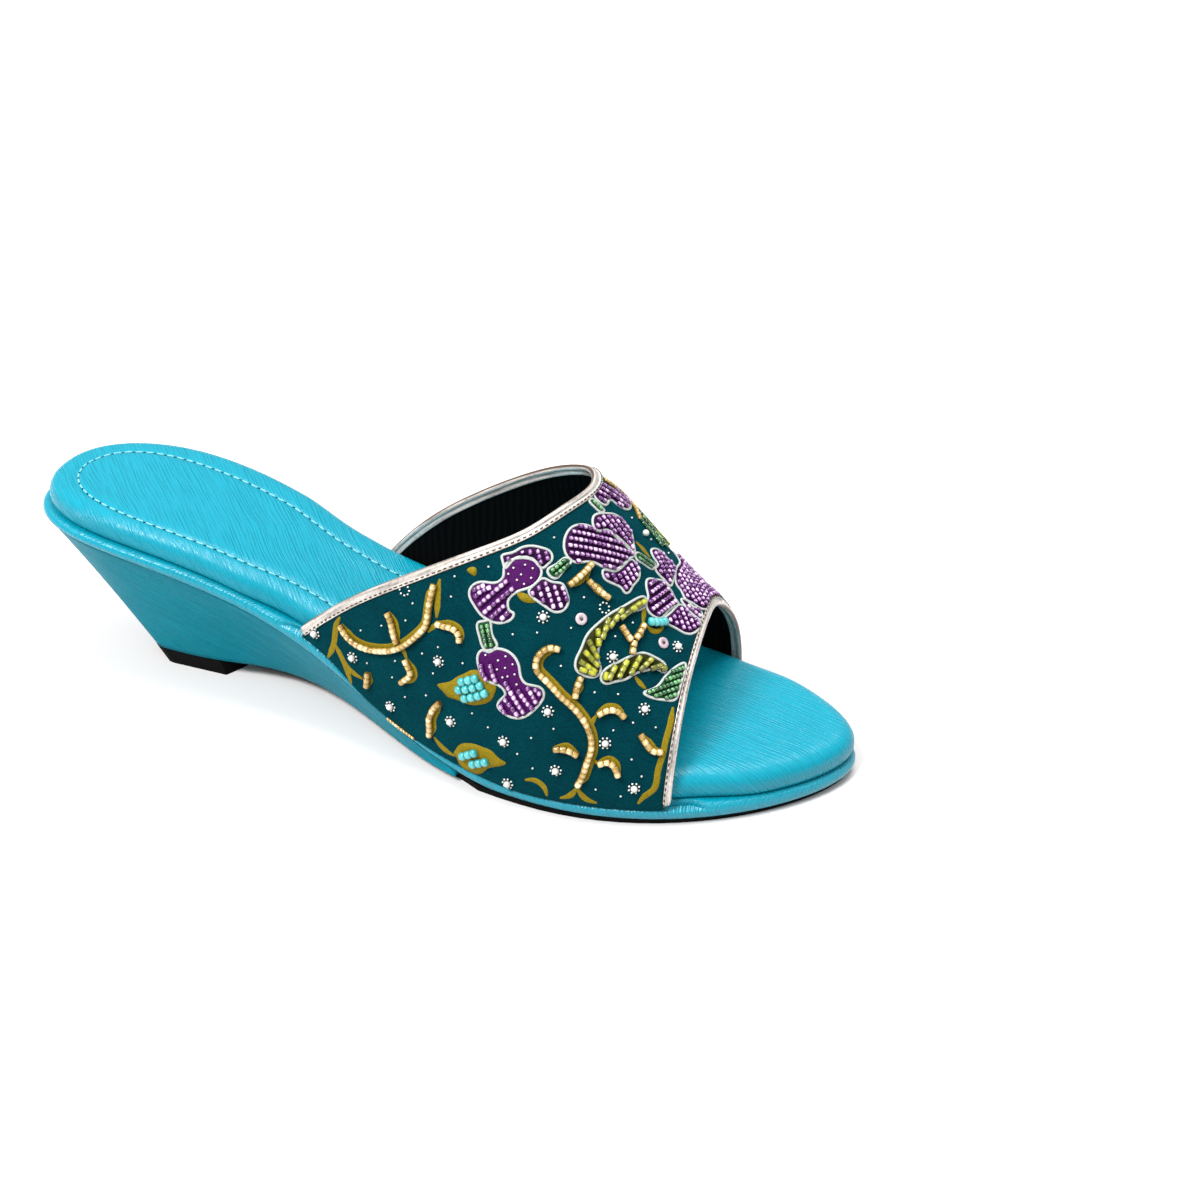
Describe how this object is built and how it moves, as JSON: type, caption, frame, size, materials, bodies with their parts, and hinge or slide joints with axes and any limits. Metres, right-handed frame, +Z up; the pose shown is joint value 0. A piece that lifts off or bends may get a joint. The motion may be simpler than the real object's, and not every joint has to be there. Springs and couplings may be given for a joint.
{
  "type": "wedge shoe",
  "caption": "Open-toe wedge mule for the right foot: padded insole, rolled rand, tapered covered wedge, thin sole and a hollow vamp edged with piping.",
  "frame": {"origin": "middle of the shoe's box, on the floor it stands on", "axes": "+X from heel to toe, +Y towards the big-toe side, +Z up"},
  "size_m": [0.2464, 0.0822, 0.0764],
  "materials": {
    "cover": "fine wavy grain, soft gloss",
    "velvet": "short pile, matte, with bead embroidery",
    "piping": "metallised silver film",
    "sole_rubber": "matte black",
    "lining": "black woven lining",
    "thread": "sewing thread",
    "print": "flat embroidery ground",
    "beads_purple": "lined seed beads",
    "beads_gold": "silver-lined seed beads",
    "beads_green": "silver-lined seed beads",
    "beads_turquoise": "opaque seed beads",
    "beads_white": "pearl beads"
  },
  "bodies": {
    "root": {"outsole": "sole_rubber", "heel_lift": "sole_rubber", "wedge": "cover", "midsole_rand": "cover", "insole": "cover", "upper": "velvet", "collar_piping": "piping", "toe_piping": "piping"}
  },
  "joints": []
}
